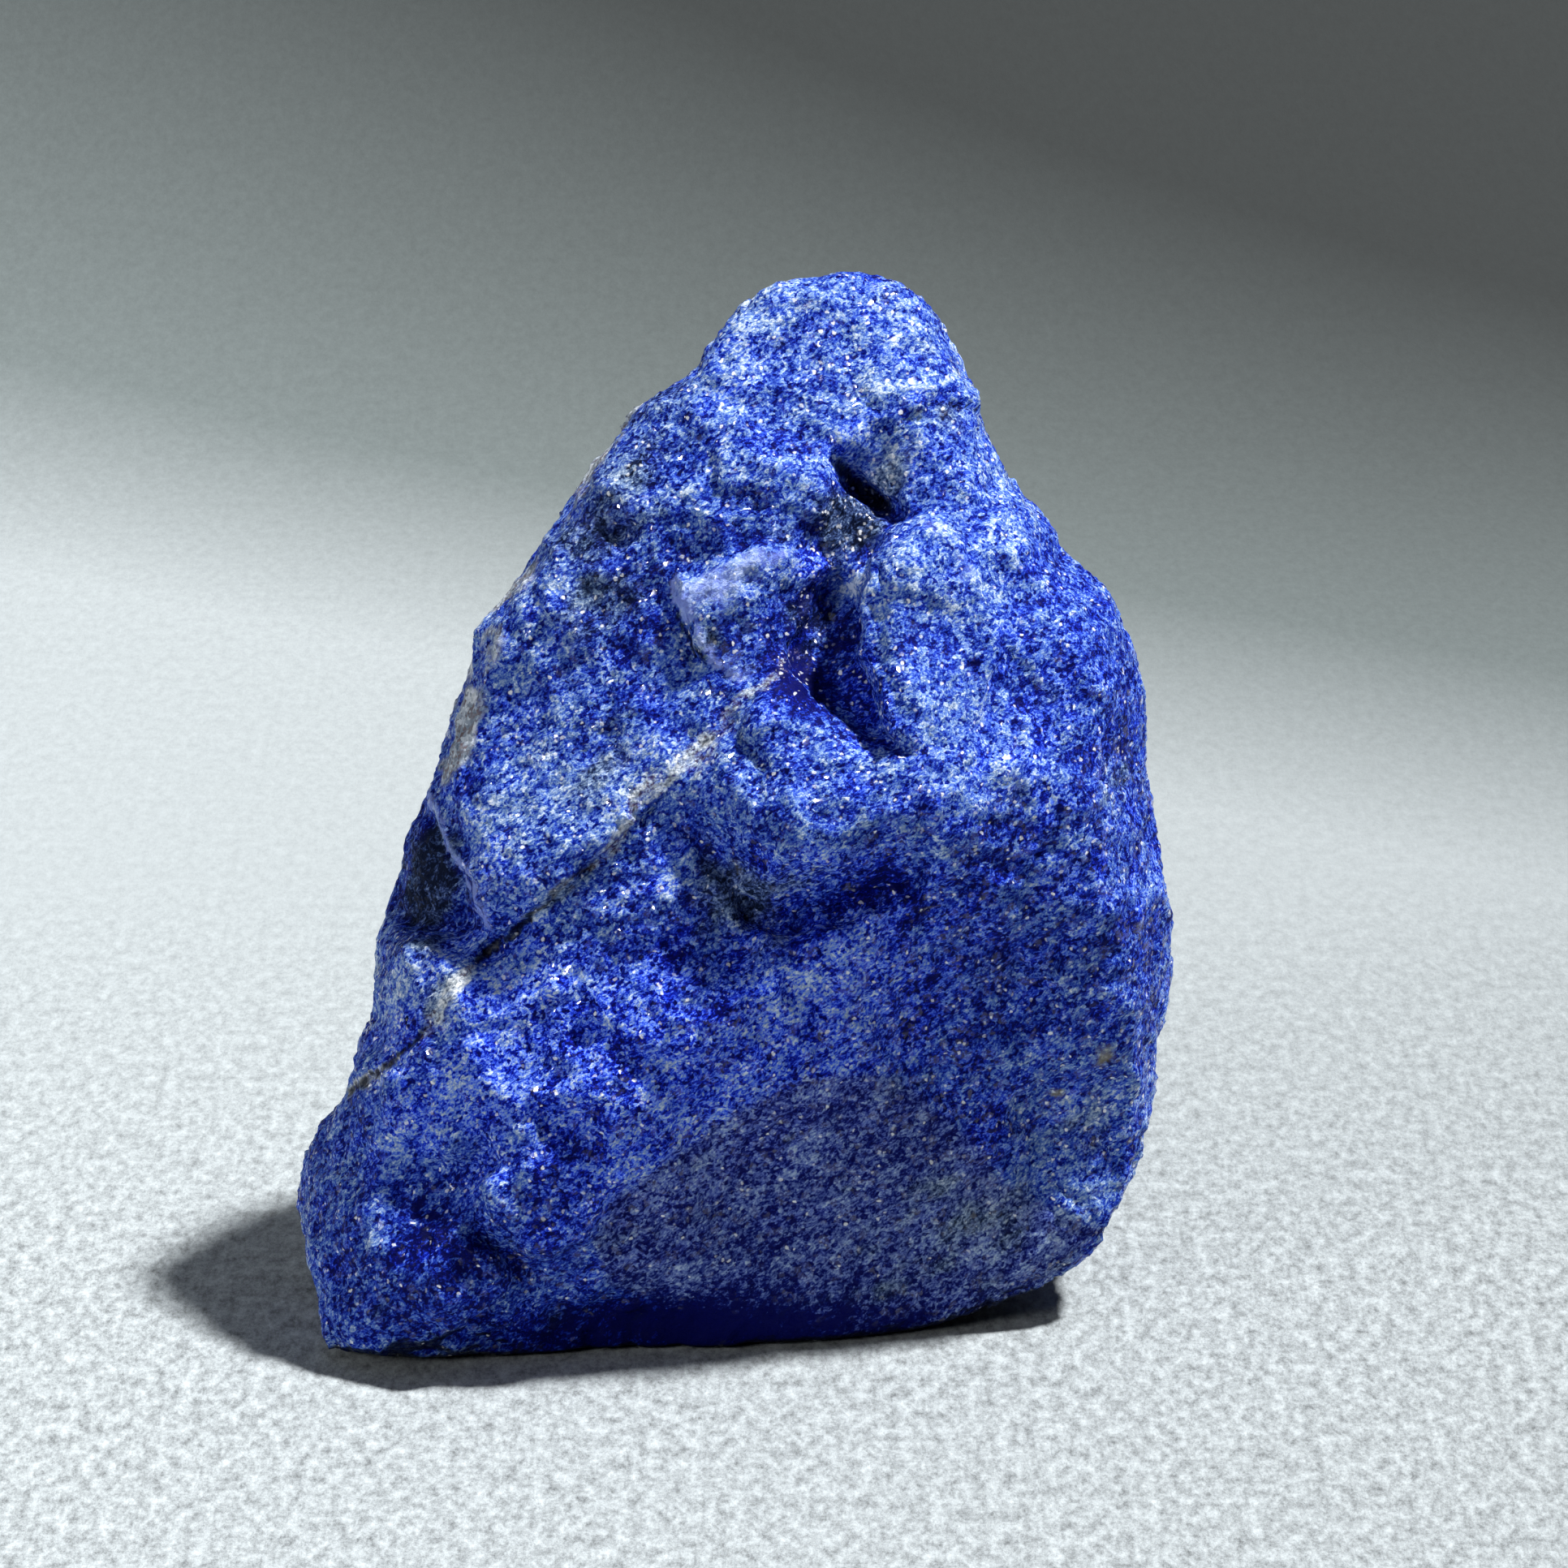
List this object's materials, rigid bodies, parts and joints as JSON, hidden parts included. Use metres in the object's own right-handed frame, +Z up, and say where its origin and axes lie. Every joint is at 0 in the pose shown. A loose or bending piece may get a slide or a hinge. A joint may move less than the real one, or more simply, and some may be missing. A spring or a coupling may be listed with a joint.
{
  "type": "rough lapis lazuli",
  "caption": "Rough, broken chunk of granular deep-blue stone with a pale vein and a weathered edge, standing upright on a flat broken facet; a display specimen or scatter rock.",
  "frame": {"origin": "on the plane of the flat broken facet the stone rests on, under the middle of its bounding box", "axes": "+Z up, +X to the right and +Y to the back as the stone's best, leaning face is seen from the front"},
  "size_m": [0.039, 0.024, 0.0465],
  "materials": {
    "lapis_rock": "rough broken, granular, matt with tiny bright cleavage glints"
  },
  "bodies": {
    "root": {"lapis_stone": "lapis_rock"}
  },
  "joints": []
}
